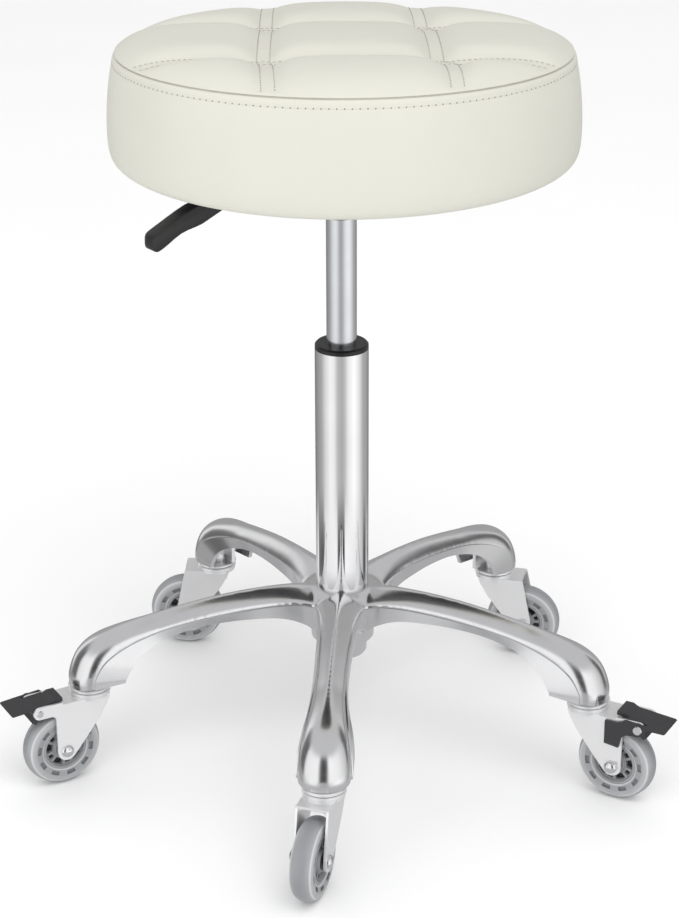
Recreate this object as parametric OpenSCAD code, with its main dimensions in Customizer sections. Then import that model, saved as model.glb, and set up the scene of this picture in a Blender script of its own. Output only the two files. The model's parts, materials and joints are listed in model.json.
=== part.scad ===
// Rolling stylist stool: round upholstered seat on a gas lift column,
// five arm cast base, five swivel casters, two of them with a brake pedal.
// All sizes in millimetres, floor at z = 0, front arm along -Y.

/* [Base] */
// Distance from the column axis to each caster stem
arm_reach = 248; // [220:1:280]
// Half width of an arm's side walls in its middle
arm_half_width = 16; // [13:0.5:20]
// Wall thickness of the cast arms
arm_wall = 4.2; // [3:0.1:6]
// Height of the hub's top face above the floor
hub_top = 172; // [150:1:190]
// Height of the arm tip's lower face above the floor
tip_bottom = 96.5; // [90:0.5:110]

/* [Column and lift] */
// Outside radius of the lift's outer column
column_r = 25; // [25:0.5:30]
// Height of the outer column's upper end
column_top = 412; // [340:1:440]
// Height of the outer column's lower end
column_foot = 98; // [90:1:110]
// Radius of the sliding cylinder
cylinder_r = 14; // [14:0.5:15]
// Travel of the seat below the height at rest
lift_stroke = 120; // [90:1:140]

/* [Seat] */
// Radius of the seat at its top seam
seat_r_top = 202; // [170:1:230]
// Radius of the seat where it is widest
seat_r_low = 210; // [180:1:240]
// Height of the seat's underside above the floor
seat_under = 602; // [560:1:640]
// Height of the top seam above the floor
seat_seam = 700; // [660:1:740]
// Rise of the seat's crown above the seam
seat_crown = 17; // [8:1:30]

/* [Lever] */
// Direction of the height lever, degrees from +X
lever_azimuth = 221.9; // [0:0.1:360]
// Height of the lever's pivot above the floor
lever_pivot_z = 586; // [575:1:592]

/* [Casters] */
// Wheel radius
wheel_r = 38.1; // [30:0.1:45]
// Wheel width
wheel_w = 22; // [18:1:30]
// Horizontal distance from stem to wheel axle
trail = 32; // [24:1:38]
// Swivel angle of the front caster, degrees from -Y toward +X
yaw_front = -15; // [-180:1:180]
// Swivel angle of the right caster
yaw_right = 65; // [-180:1:180]
// Swivel angle of the rear right caster
yaw_rear_right = 80; // [-180:1:180]
// Swivel angle of the rear left caster
yaw_rear_left = -89; // [-180:1:180]
// Swivel angle of the left caster
yaw_left = -57; // [-180:1:180]

/* [Hidden] */
$fn = 64;
// position of the column axis in the footprint's frame
axis_x = -0.5;
axis_y = 47.5;
yaws = [yaw_front, yaw_right, yaw_rear_right, yaw_rear_left, yaw_left];
caster_names = ["front", "right", "rear_right", "rear_left", "left"];
taper = 0.025;
hub_foot = 116.5;
fork_out = 15.5;
fork_t = 2.3;
fork_in = fork_out - fork_t;
top_plate_z = 88.5;
top_plate_t = 2.5;
pivot_x = 57.5;
pivot_z = 84.6;
socket_low = 540;
cylinder_foot = 262;

module place() translate([axis_x, axis_y, 0]) children();
module at_stem(i) place() translate([arm_reach*sin(72*i), -arm_reach*cos(72*i), 0]) children();
// caster frame: +X from the stem toward the wheel, +Y the left hand side
module at_caster(i) at_stem(i) rotate([0, 0, yaws[i] - 90]) children();
module side_plate(y0, t) translate([0, y0 + t, 0]) rotate([90, 0, 0]) linear_extrude(t) children();
module along_y(r, y0, y1) translate([0, y1, 0]) rotate([90, 0, 0]) cylinder(r = r, h = y1 - y0);

// ---------------------------------------------------------------- base
// stations of an arm: crest x z, dome foot x z, lower edge x z, half width
stations = [
  [14, 169.5, 14, 158, 14, 134, 19.5],
  [30, 172.6, 30, 160, 30, 134, 19.2],
  [46, 175.2, 46, 163, 43, 142, 18.6],
  [70, 176.0, 69, 163, 64, 149, 18.0],
  [98, 175.0, 97, 161.5, 94, 151.4, 17.4],
  [128, 172.0, 126, 158.6, 122, 151, 16.6],
  [156, 167.4, 153, 154.6, 147, 148.2, 16.0],
  [184, 161.8, 178, 149.8, 168, 143.2, 16.2],
  [208, 156.2, 199, 143.8, 183, 138.2, 17.6],
  [226, 150.8, 215, 138, 194, 133, 19.6],
  [241, 144.6, 227, 132, 202, 127.5, 21.8],
  [252, 136.8, 236, 125.4, 208.6, 120.5, 23.6],
  [260, 127.0, 242, 117.4, 213, 113.5, 24.6],
  [265.2, 114.5, 245.6, 109.6, 215.4, 108.4, 25],
  [267.4, 105, 246.8, 104.6, 216.4, 106.2, 24.8],
  [266.8, 97, 246.8, 99.6, 216.8, 104, 24]];
dome_steps = 8;
ledge = 1.3;
// one outline of a station: w wall half width, k inset, h crest lowering
function mix(a, b, f) = [a[0] + (b[0] - a[0])*f, a[1] + (b[1] - a[1])*f];
function outline(s, inset) =
  let (c0 = [s[0], s[1]], k0 = [s[2], s[3]], e = [s[4], s[5]],
       l = norm(e - c0), c = mix(c0, e, inset/l), k = mix(k0, e, inset*0.2/l),
       w = s[6]*arm_half_width/16 - inset, wd = w - (inset > 0 ? 0 : ledge), k2 = mix(k, e, 1.2/l))
  concat([[e[0], -w, e[1]], [k2[0], -w, k2[1]]],
    [for (j = [0:dome_steps]) let (a = 180*j/dome_steps, p = mix(k, c, sin(a))) [p[0], -wd*cos(a), p[1]]],
    [[k2[0], w, k2[1]], [e[0], w, e[1]]]);
function flip(v) = [for (i = [len(v) - 1:-1:0]) v[i]];
ring_n = 2*(dome_steps + 5);
half_n = dome_steps + 5;
module arm_shell() {
  pts = [for (s = stations) for (p = concat(outline(s, 0), flip(outline(s, arm_wall)))) p];
  m = len(stations);
  sides = [for (i = [0:m - 2]) for (j = [0:ring_n - 1])
    let (a = i*ring_n + j, b = i*ring_n + (j + 1) % ring_n) each [[a, b, b + ring_n], [a, b + ring_n, a + ring_n]]];
  cap0 = [for (j = [0:half_n - 2]) each [[j, ring_n - 1 - j, ring_n - 2 - j], [j, ring_n - 2 - j, j + 1]]];
  z = (m - 1)*ring_n;
  cap1 = [for (j = [0:half_n - 2]) each [[z + j, z + ring_n - 2 - j, z + ring_n - 1 - j], [z + j, z + j + 1, z + ring_n - 2 - j]]];
  polyhedron(points = pts, faces = concat(sides, cap0, cap1), convexity = 6);
}
module arm() rotate([0, 0, -90]) {
  arm_shell();
  // stem socket with its webs
  translate([arm_reach, 0, tip_bottom]) cylinder(r = 11, h = 30);
  translate([212, -1.8, 106]) cube([30, 3.6, 20]);
  translate([arm_reach - 2, -22, 101]) cube([4, 44, 12]);
}
module base_star() place() color([0.78, 0.78, 0.8]) difference() {
  union() {
    rotate_extrude() polygon([[20, hub_foot], [28.5, hub_foot], [30, 118], [30.5, 127], [33, 133],
      [39, 140], [42.5, 148], [43, 156], [41, 163], [36, 168.5], [29.5, 171.4], [27, hub_top], [20, hub_top]]);
    for (i = [0:4]) rotate([0, 0, 72*i]) arm();
  }
  // tapered bore, wide at the top
  translate([0, 0, hub_foot - 1]) cylinder(r1 = column_r - taper*(hub_top - hub_foot + 1), r2 = column_r, h = hub_top - hub_foot + 1);
  translate([0, 0, hub_top]) cylinder(r = column_r + 0.8, h = 20);
  for (i = [0:4]) rotate([0, 0, 72*i]) translate([0, -arm_reach, tip_bottom - 1]) cylinder(r = 6.2, h = 28);
}
module outer_column() place() color([0.85, 0.85, 0.87]) difference() {
  union() {
    translate([0, 0, hub_top]) cylinder(r = column_r, h = column_top - hub_top);
    translate([0, 0, column_foot + 4]) cylinder(r1 = column_r - taper*(hub_top - column_foot - 4), r2 = column_r, h = hub_top - column_foot - 4);
    rotate_extrude() polygon([[0, column_foot], [18.5, column_foot], [21.6, 99.4], [column_r - taper*(hub_top - column_foot - 4), column_foot + 4], [0, column_foot + 4]]);
  }
  translate([0, 0, column_foot + 3]) cylinder(r = 21, h = 400);
  translate([0, 0, hub_top + 6]) cylinder(r = 23.2, h = 400);
  translate([0, 0, column_foot - 1]) cylinder(r = 5.5, h = 10);
}
module guide_bush() place() color([0.08, 0.08, 0.09]) difference() {
  union() {
    translate([0, 0, 322]) cylinder(r = 23.2, h = column_top - 322);
    translate([0, 0, column_top]) cylinder(r = 24.9, h = 3.4);
    translate([0, 0, column_top + 3.4]) cylinder(r1 = 24.9, r2 = 23.4, h = 1.6);
  }
  translate([0, 0, 321]) cylinder(r = cylinder_r + 0.08, h = 120);
}
module caster_stems() color([0.72, 0.73, 0.75]) for (i = [0:4]) at_stem(i) {
  cylinder_z(9, 82.6, 85.2);
  cylinder_z(5.6, 85.2, tip_bottom + 24);
  translate([0, 0, tip_bottom + 24]) cylinder(r1 = 5.6, r2 = 3.6, h = 2.4);
}
module cylinder_z(r, z0, z1) translate([0, 0, z0]) cylinder(r = r, h = z1 - z0);
module ring_z(ro, ri, z0, z1) translate([0, 0, z0]) difference() {
  cylinder(r = ro, h = z1 - z0);
  translate([0, 0, -1]) cylinder(r = ri, h = z1 - z0 + 2);
}
module grip_rings() color([0.6, 0.6, 0.62]) for (i = [0:4]) at_stem(i) ring_z(6.2, 5.6, tip_bottom + 6, tip_bottom + 18);
module raceway_cups() color([0.8, 0.8, 0.82]) for (i = [0:4]) at_stem(i) difference() {
  rotate_extrude() polygon([[5.6, 92.9], [19.2, 92.9], [20.3, 93.9], [20.3, 95.4], [19.2, tip_bottom], [5.6, tip_bottom]]);
  rotate_extrude() translate([14, 92.5]) circle(r = 2.3);
}
module swivel_balls() color([0.7, 0.7, 0.72]) for (i = [0:4]) at_stem(i)
  for (k = [0:11]) rotate([0, 0, 30*k]) translate([14, 0, 92.5]) sphere(r = 2.05);
module retaining_clip() place() color([0.5, 0.5, 0.52]) {
  difference() {
    cylinder_z(10.5, column_foot - 2.6, column_foot - 0.6);
    translate([0, 0, column_foot - 4]) cylinder(r = 5.5, h = 5);
    translate([-1.6, -12, column_foot - 4]) cube([3.2, 8, 5]);
  }
  ring_z(10.5, 8.5, column_foot - 0.6, column_foot);
}
// ---------------------------------------------------------------- lift
module piston_rod() place() color([0.8, 0.8, 0.82]) {
  cylinder_z(5, column_foot - 4, 284);
  translate([0, 0, column_foot - 5.2]) cylinder(r1 = 4, r2 = 5, h = 1.2);
}
module piston() place() color([0.2, 0.2, 0.21]) {
  ring_z(12.32, 5, 284 - 14, 284 - 9);
  ring_z(12.32, 5, 284 - 5, 284);
  ring_z(11, 5, 284 - 9, 284 - 5);
}
module thrust_bearing() place() color([0.6, 0.6, 0.62]) {
  ring_z(13, 5, column_foot + 3.4, column_foot + 5.4);
  ring_z(13, 5, column_foot + 8.6, column_foot + 10.6);
  for (k = [0:9]) rotate([0, 0, 36*k]) translate([9.5, 0, column_foot + 7]) sphere(r = 1.62);
}
module gas_cylinder() place() color([0.72, 0.73, 0.75]) difference() {
  union() {
    cylinder_z(cylinder_r, cylinder_foot, socket_low);
    translate([0, 0, socket_low]) cylinder(r1 = cylinder_r, r2 = cylinder_r - 0.9, h = 36);
  }
  cylinder_z(12.4, cylinder_foot - 1, 562);
  cylinder_z(4.3, 560, 580);
}
module cylinder_guide() place() color([0.25, 0.25, 0.26]) {
  ring_z(12.4, 5.05, cylinder_foot, cylinder_foot + 7.4);
}
module valve_body() place() color([0.75, 0.65, 0.4]) difference() {
  cylinder_z(12.4, 538, 562);
  cylinder_z(4.3, 537, 563);
}
module release_pin() place() color([0.8, 0.8, 0.8]) {
  cylinder_z(4, 545, 580.8);
  translate([0, 0, 580.8]) cylinder(r1 = 4, r2 = 3.2, h = 0.8);
}
// ---------------------------------------------------------------- mechanism, lever frame: +X toward the paddle
module at_lever() place() rotate([0, 0, lever_azimuth]) children();
module round_square(a, r) {
  square([a, a - 2*r], center = true);
  square([a - 2*r, a], center = true);
  for (x = [-1, 1], y = [-1, 1]) translate([x*(a/2 - r), y*(a/2 - r)]) circle(r = r);
}
module seat_plate() color([0.1, 0.1, 0.11]) at_lever() {
  translate([0, 0, 599.4]) linear_extrude(3) difference() {
    round_square(170, 14);
    for (x = [-66, 66], y = [-66, 66]) translate([x, y]) circle(r = 4.2);
  }
  // stiffening flanges
  for (s = [-1, 1]) translate([-60, s*84 - 1, 591]) cube([120, 2, 9]);
}
module lever_bracket() color([0.1, 0.1, 0.11]) at_lever() difference() {
  translate([-32, -23, 568]) cube([80, 46, 31.4]);
  translate([-33, -20.5, 570.5]) cube([78.5, 41, 40]);
  translate([40, -8, 577]) cube([20, 16, 17]);
  translate([0, 0, 560]) cylinder(r = 14.6, h = 20);
  translate([22, 0, lever_pivot_z]) along_y(3.05, -30, 30);
}
module taper_socket() color([0.12, 0.12, 0.13]) place() difference() {
  cylinder_z(18.5, socket_low, 568);
  translate([0, 0, socket_low]) cylinder(r1 = cylinder_r, r2 = cylinder_r - 0.7, h = 28);
}
module lever_rod() color([0.35, 0.35, 0.37]) at_lever() {
  translate([-6, 0, lever_pivot_z]) rotate([0, 90, 0]) cylinder(r = 4, h = 116);
  translate([110, 0, lever_pivot_z]) sphere(r = 4.6);
  translate([110, 0, lever_pivot_z]) rotate([0, 90 + 17, 0]) cylinder(r = 4, h = 66);
  translate([22, 0, lever_pivot_z]) along_y(3, -24, 24);
}
module lever_paddle() color([0.07, 0.07, 0.07]) at_lever() difference() {
  translate([112, 0, lever_pivot_z - 0.6]) rotate([0, 17, 0]) {
    translate([0, 8, 0]) rotate([90, 0, 0]) linear_extrude(16) polygon([[0, -6], [8, -7.6], [60, -8.4], [92, -9], [97.5, -7.6], [101, -4],
      [101, 1.5], [98, 5.4], [92, 7], [60, 7], [8, 6.4], [0, 5]]);
  }
  translate([110, 0, lever_pivot_z]) rotate([0, 90 + 17, 0]) cylinder(r = 4, h = 66);
  translate([100, 0, lever_pivot_z]) rotate([0, 90, 0]) cylinder(r = 4, h = 10);
  translate([110, 0, lever_pivot_z]) sphere(r = 4.6);
}
// ---------------------------------------------------------------- seat
module seat_board() color([0.75, 0.6, 0.42]) place() difference() {
  cylinder_z(190, 602.4, 615);
  at_board_bolts() cylinder_z(5.3, 602, 616);
}
module at_board_bolts() rotate([0, 0, lever_azimuth]) for (x = [-66, 66], y = [-66, 66]) translate([x, y, 0]) children();
module seat_foam() color([0.95, 0.93, 0.8]) place() difference() {
  rotate_extrude() polygon([[0, 615], [190, 615], [190, 604], [204, 605.5], [208, 611], [208.3, 624], [207.2, 645], [204.4, 672], [201.6, 690],
    [199.5, 698.4], [193, 703.2], [178, 707.6], [150, 711.2], [110, 713.8], [60, 715.2], [0, 715.6]]);
  at_board_bolts() cylinder_z(10, 614, 616.6);
  at_board_bolts() cylinder_z(5.6, 614, 632);
}
module seat_top_cover() color([0.93, 0.92, 0.86]) place() rotate_extrude() polygon([
  [0, 715.6], [60, 715.2], [110, 713.8], [150, 711.2], [178, 707.6], [193, 703.2], [199.5, 698.4],
  [seat_r_top, seat_seam], [198.8, 703], [193.6, 705.2], [178.3, 709.4], [150, 713], [110, 715.7], [60, 717.1], [0, seat_seam + seat_crown + 0.5]]);
module seat_band() color([0.93, 0.92, 0.86]) place() rotate_extrude() polygon([
  [199.5, 698.4], [201.6, 690], [204.4, 672], [207.2, 645], [208.3, 624], [208, 611], [204, 605.5], [190, 604],
  [190, 602.4], [176, 602.4], [176, 600.9], [190, seat_under - 1.6], [200, 601], [206, 603.6], [209.4, 609.6], [seat_r_low, 624], [209, 645], [206.3, 672],
  [203.6, 690], [seat_r_top, seat_seam]]);
module dust_cover() color([0.1, 0.1, 0.1]) at_lever() translate([0, 0, 601.5]) linear_extrude(0.6) difference() {
  circle(r = 175.5);
  round_square(172, 14);
}
module t_nuts() color([0.7, 0.68, 0.6]) place() at_board_bolts() {
  ring_z(10, 4, 615, 616.6);
  ring_z(5.3, 4, 604, 615);
}
module seat_bolts() color([0.25, 0.25, 0.26]) place() at_board_bolts() {
  cylinder_z(4, 597.8, 622);
  translate([0, 0, 597.8]) difference() {
    translate([0, 0, -3.2]) cylinder(r1 = 5.4, r2 = 7, h = 3.2);
    translate([0, 0, -3.4]) cylinder(r = 2.6, h = 2, $fn = 6);
  }
}
module bolt_washers() color([0.7, 0.7, 0.7]) place() at_board_bolts() ring_z(8.5, 4, 597.8, 599.4);
// ---------------------------------------------------------------- casters
module plate_shape(braked) {
  translate([trail, wheel_r]) circle(r = 9.5);
  polygon([[-13.8, top_plate_z], [-13.2, 84.4], [-10.5, 79], [-4, 67.8], [4, 57.6], [11, 48.4], [trail - 7.2, wheel_r - 6.2], [trail + 9.5, wheel_r],
    [trail + 9.5, 44], if (braked) [trail + 9.5, 80], [braked ? trail + 4.6 : trail + 0.4, top_plate_z - 1], [braked ? trail + 3.8 : trail - 0.6, top_plate_z]]);
  if (braked) {
    translate([trail + 2, pivot_z - 6.2]) square([pivot_x - trail - 2, 12.4]);
    translate([pivot_x, pivot_z]) circle(r = 6.2);
    // fillet under the ear
    difference() {
      translate([trail + 9, pivot_z - 11.2]) square([5.5, 5.5]);
      translate([trail + 14.5, pivot_z - 11.2]) circle(r = 5);
    }
  }
}
module fork(i, braked) color([0.82, 0.83, 0.85]) at_caster(i) difference() {
  x1 = braked ? trail + 3.8 : trail - 0.6;
  union() {
    for (s = [-1, 1]) side_plate(s > 0 ? fork_in : -fork_out, fork_t) plate_shape(braked);
    // top of the bridge
    translate([-13.8, -fork_out, top_plate_z - top_plate_t]) cube([x1 + 13.8, 2*fork_out, top_plate_t]);
    cylinder_z(19, top_plate_z - top_plate_t, top_plate_z);
    // bend between the bridge and the side plates
    for (s = [-1, 1]) translate([-12, 0, 0]) rotate([90, 0, 90]) linear_extrude(x1 + 12 - 0.4)
      polygon([[s*8.5, 86.4], [s*9, 85.8], [s*12.6, 83.8], [s*14.4, 80.4], [s*14.8, 80], [s*15.2, 86.4]]);
    // lower raceway
    rotate_extrude() polygon([[0, top_plate_z - 0.5], [19.2, top_plate_z - 0.5], [19.8, 89.4], [19.8, 91.2], [18.8, 92.1], [0, 92.1]]);
  }
  translate([0, 0, 80]) cylinder(r = 6.1, h = 20);
  rotate_extrude() translate([14, 92.5]) circle(r = 2.4);
  translate([trail, 0, wheel_r]) along_y(3.15, -20, 20);
  if (braked) translate([pivot_x, 0, pivot_z]) along_y(2.6, -20, 20);
}
module axle(i) color([0.7, 0.71, 0.73]) at_caster(i) translate([trail, 0, wheel_r]) {
  along_y(3.1, -fork_out - 4.6, fork_out + 1);
  along_y(4, -fork_in, fork_in);
  for (s = [-1, 1]) translate([0, s > 0 ? 10.6 : -fork_in, 0]) rotate([-90, 0, 0]) cylinder(r = 5.6, h = fork_in - 10.6);
  // button head
  translate([0, fork_out, 0]) rotate([-90, 0, 0]) difference() {
    union() {
      cylinder(r = 6.6, h = 2);
      translate([0, 0, 2]) cylinder(r1 = 6.6, r2 = 4.6, h = 1.7);
    }
    translate([0, 0, 2]) cylinder(r = 2, h = 4, $fn = 6);
  }
  // lock nut
  translate([0, -fork_out, 0]) rotate([90, 0, 0]) {
    cylinder(r = 5.8, h = 4.2, $fn = 6);
    translate([0, 0, 4.2]) cylinder(r1 = 4.6, r2 = 3.9, h = 1.4);
  }
}
module at_wheel(i) at_caster(i) translate([trail, 0, wheel_r]) rotate([90, 0, 0]) children();
module tyre(i) color([0.6, 0.61, 0.62]) at_wheel(i) difference() {
  rotate_extrude() polygon(concat([[21.8, -9.6], [25.4, -10.2]],
    [for (a = [-90:11.25:90]) [wheel_r - 8.6 + 8.6*cos(a), wheel_w/2*sin(a)]], [[25.4, 10.2], [21.8, 9.6]]));
  translate([0, 0, -3.5]) cylinder(r = 28.5, h = 7);
}
module core(i) color([0.75, 0.76, 0.77]) at_wheel(i) difference() {
  union() {
    translate([0, 0, -10]) cylinder(r = 10.6, h = 20);
    translate([0, 0, -3.2]) cylinder(r = 20, h = 6.4);
    difference() {
      translate([0, 0, -9.6]) cylinder(r = 21.8, h = 19.2);
      translate([0, 0, -10]) cylinder(r = 18.8, h = 20);
    }
    difference() {
      translate([0, 0, -3.5]) cylinder(r = 28.5, h = 7);
      translate([0, 0, -10]) cylinder(r = 20, h = 20);
    }
  }
  translate([0, 0, -11]) cylinder(r = 7, h = 22);
  for (k = [0:4]) {
    rotate([0, 0, 72*k - 13]) rotate_extrude(angle = 26) translate([11.8, -5]) square([6.2, 10]);
    rotate([0, 0, 72*k + 36 - 6]) rotate_extrude(angle = 12) translate([12.4, -5]) square([5, 10]);
  }
}
module bushes(i) color([0.3, 0.3, 0.3]) at_wheel(i) for (s = [-1, 1]) translate([0, 0, s > 0 ? 3 : -10.3]) difference() {
  union() {
    cylinder(r = 7, h = 7.3);
    translate([0, 0, s > 0 ? 7 : 0]) cylinder(r = 8.4, h = 0.3);
  }
  translate([0, 0, -1]) cylinder(r = 4.05, h = 10);
}
// ---------------------------------------------------------------- brake pedals, caster frame
module pedal(i) color([0.07, 0.07, 0.08]) at_caster(i) difference() {
  union() {
    // foot plate over the ears, with its upturned inner lip
    side_plate(-18.4, 31.1) polygon([[44.5, 89.4], [83, 86.6], [84.4, 87.4], [83.2, 88.6], [60, 90.4], [44.5, 91.6]]);
    side_plate(-9.5, 21.9) polygon([[33, 91.6], [34, 90.6], [40, 90], [45, 89.4], [47, 91.4], [44.4, 92.8], [41, 94.8], [33.4, 94.8]]);
    // cheek on the right hand side
    side_plate(-18.4, 2.6) union() {
      polygon([[24.8, 86.6], [24.8, 63], [39, 61.4], [41, 72], [46, 76.4], [54, 77.6], [57.5, 78], [63.4, 82], [66, 86.4],
        [83, 86.6], [84.4, 87.4], [83.2, 88.6], [60, 90.4], [45, 91.6], [40, 88.2], [36, 86.8]]);
      translate([pivot_x, pivot_z]) circle(r = 6.6);
    }
    // boss and cam nose between the ears
    side_plate(-12.9, 25.6) polygon([[51.4, 90], [51.4, 83.6], [53.6, 79], [56.5, 77.6], [61.4, 72.9], [64.8, 75.2], [62.8, 80.5], [64.4, 88.6]]);
  }
  translate([pivot_x, 0, pivot_z]) along_y(2.56, -30, 30);
  // clear of the fork's right hand ear
  translate([0, -15.8, 60]) cube([64.6, 2.9, 40]);
}
module pedal_pin(i) color([0.75, 0.75, 0.77]) at_caster(i) translate([pivot_x, 0, pivot_z]) {
  along_y(2.5, -19.8, fork_out + 1);
  translate([0, fork_out, 0]) rotate([-90, 0, 0]) cylinder(r1 = 3.6, r2 = 2.8, h = 1.6);
  translate([0, -18.8, 0]) rotate([90, 0, 0]) cylinder(r1 = 4.6, r2 = 3.8, h = 1.6);
}

base_star();
outer_column();
guide_bush();
caster_stems();
grip_rings();
raceway_cups();
swivel_balls();
retaining_clip();
piston_rod();
piston();
thrust_bearing();
gas_cylinder();
cylinder_guide();
valve_body();
seat_plate();
taper_socket();
lever_bracket();
seat_board();
seat_foam();
seat_top_cover();
seat_band();
dust_cover();
t_nuts();
seat_bolts();
bolt_washers();
lever_rod();
lever_paddle();
release_pin();
fork(0, false);  // fork_front
fork(1, true);  // fork_right
fork(2, false);  // fork_rear_right
fork(3, false);  // fork_rear_left
fork(4, true);  // fork_left
axle(0);  // axle_front
axle(1);  // axle_right
axle(2);  // axle_rear_right
axle(3);  // axle_rear_left
axle(4);  // axle_left
tyre(0);  // tyre_front
tyre(1);  // tyre_right
tyre(2);  // tyre_rear_right
tyre(3);  // tyre_rear_left
tyre(4);  // tyre_left
core(0);  // core_front
core(1);  // core_right
core(2);  // core_rear_right
core(3);  // core_rear_left
core(4);  // core_left
bushes(0);  // bushes_front
bushes(1);  // bushes_right
bushes(2);  // bushes_rear_right
bushes(3);  // bushes_rear_left
bushes(4);  // bushes_left
pedal(1);  // pedal_right
pedal(4);  // pedal_left
pedal_pin(1);  // pedal_pin_right
pedal_pin(4);  // pedal_pin_left
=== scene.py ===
import json
import math
import bmesh
import bpy
import numpy as np
from mathutils import Matrix, Vector
from mathutils.bvhtree import BVHTree
from mathutils.geometry import delaunay_2d_cdt

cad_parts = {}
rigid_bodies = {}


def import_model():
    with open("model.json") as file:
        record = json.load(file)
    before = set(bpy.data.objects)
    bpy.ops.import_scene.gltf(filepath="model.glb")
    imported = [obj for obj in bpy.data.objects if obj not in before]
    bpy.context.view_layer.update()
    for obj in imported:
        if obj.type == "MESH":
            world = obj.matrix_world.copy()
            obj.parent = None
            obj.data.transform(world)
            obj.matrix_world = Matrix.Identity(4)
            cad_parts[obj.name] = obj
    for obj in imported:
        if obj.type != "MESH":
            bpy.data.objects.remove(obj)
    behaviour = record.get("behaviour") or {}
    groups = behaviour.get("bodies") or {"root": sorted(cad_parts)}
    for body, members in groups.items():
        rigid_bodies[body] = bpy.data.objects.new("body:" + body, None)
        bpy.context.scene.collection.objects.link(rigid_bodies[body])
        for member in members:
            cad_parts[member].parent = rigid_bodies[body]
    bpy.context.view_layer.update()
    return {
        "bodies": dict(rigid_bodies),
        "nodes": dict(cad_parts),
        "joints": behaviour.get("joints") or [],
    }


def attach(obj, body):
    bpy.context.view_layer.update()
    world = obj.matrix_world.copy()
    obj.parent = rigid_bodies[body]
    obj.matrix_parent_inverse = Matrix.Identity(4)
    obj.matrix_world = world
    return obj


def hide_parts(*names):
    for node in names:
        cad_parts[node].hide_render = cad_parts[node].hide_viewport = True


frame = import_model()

NODES = frame["nodes"]
JOINTS = {j["name"]: j for j in frame["joints"]}
MM = 0.001
AXIS = Vector(JOINTS["seat_swivel"]["pos_m"])
AX, AY = AXIS.x, AXIS.y
TURN = math.radians(3.88)          # the stored pose is turned by this much about the column
CASTERS = ["front", "right", "rear_right", "rear_left", "left"]
scene = bpy.context.scene


# ---------------------------------------------------------------- mesh helpers
def make(name, verts, faces, mat=None, body=None, smooth=40, mm=True):
    me = bpy.data.meshes.new(name)
    k = MM if mm else 1.0
    me.from_pydata([(v[0] * k, v[1] * k, v[2] * k) for v in verts], [], [list(f) for f in faces])
    me.validate()
    ob = bpy.data.objects.new(name, me)
    scene.collection.objects.link(ob)
    fix_normals(ob)
    finish_mesh(ob, mat, body, smooth)
    return ob


def fix_normals(ob):
    bm = bmesh.new()
    bm.from_mesh(ob.data)
    bmesh.ops.recalc_face_normals(bm, faces=bm.faces)
    bm.to_mesh(ob.data)
    bm.free()


def finish_mesh(ob, mat=None, body=None, smooth=40):
    me = ob.data
    if smooth is not None:
        for p in me.polygons:
            p.use_smooth = True
        me.set_sharp_from_angle(angle=math.radians(smooth))
    if mat is not None:
        me.materials.clear()
        me.materials.append(mat)
    if body is not None:
        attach(ob, body)


def transform(ob, m):
    ob.data.transform(m)
    if m.determinant() < 0:
        ob.data.flip_normals()
    return ob


def lathe(name, profile, segs=96, closed=True):
    """Turns a profile of (radius, z) about Z. A closed profile is a ring; an open one must begin and end on the axis."""
    verts, rows = [], []
    for r, z in profile:
        if r < 1e-6:
            rows.append([len(verts)] * segs)
            verts.append((0, 0, z))
        else:
            rows.append(list(range(len(verts), len(verts) + segs)))
            for i in range(segs):
                a = 2 * math.pi * i / segs
                verts.append((r * math.cos(a), r * math.sin(a), z))
    faces = []
    n = len(profile)
    for k in range(n if closed else n - 1):
        a, b = rows[k], rows[(k + 1) % n]
        for i in range(segs):
            j = (i + 1) % segs
            f = [a[i], a[j], b[j], b[i]]
            g = []
            for v in f:
                if v not in g:
                    g.append(v)
            if len(g) > 2:
                faces.append(g)
    return make(name, verts, faces)


def arc(cx, cy, r, a0, a1, n):
    return [(cx + r * math.cos(math.radians(a0 + (a1 - a0) * i / n)), cy + r * math.sin(math.radians(a0 + (a1 - a0) * i / n))) for i in range(n + 1)]


def spline(table, t):
    """Catmull-Rom through the rows of a table; t counts rows."""
    n = len(table)
    i = min(max(int(t), 0), n - 2)
    f = t - i
    p = [table[min(max(k, 0), n - 1)] for k in (i - 1, i, i + 1, i + 2)]
    out = []
    for a, b, c, d in zip(*p):
        out.append(0.5 * ((2 * b) + (c - a) * f + (2 * a - 5 * b + 4 * c - d) * f * f + (3 * b - a - 3 * c + d) * f ** 3))
    return out


def loft(name, sections):
    """Closed loft through rings with the same number of points, with its two ends capped."""
    n = len(sections[0])
    verts = [p for s in sections for p in s]
    faces = []
    for k in range(len(sections) - 1):
        for i in range(n):
            j = (i + 1) % n
            faces.append([k * n + i, k * n + j, (k + 1) * n + j, (k + 1) * n + i])
    faces.append(list(range(n))[::-1])
    faces.append(list(range((len(sections) - 1) * n, len(sections) * n)))
    return make(name, verts, faces)


def apply_modifiers(ob):
    deps = bpy.context.evaluated_depsgraph_get()
    me = bpy.data.meshes.new_from_object(ob.evaluated_get(deps))
    old = ob.data
    ob.modifiers.clear()
    ob.data = me
    bpy.data.meshes.remove(old)
    return ob


def boolean(ob, others, op="UNION", solver="MANIFOLD"):
    for o in others:
        m = ob.modifiers.new("b", "BOOLEAN")
        m.operation = op
        m.solver = solver
        m.object = o
    bpy.context.view_layer.update()
    apply_modifiers(ob)
    for o in others:
        me = o.data
        bpy.data.objects.remove(o)
        bpy.data.meshes.remove(me)
    return ob


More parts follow.
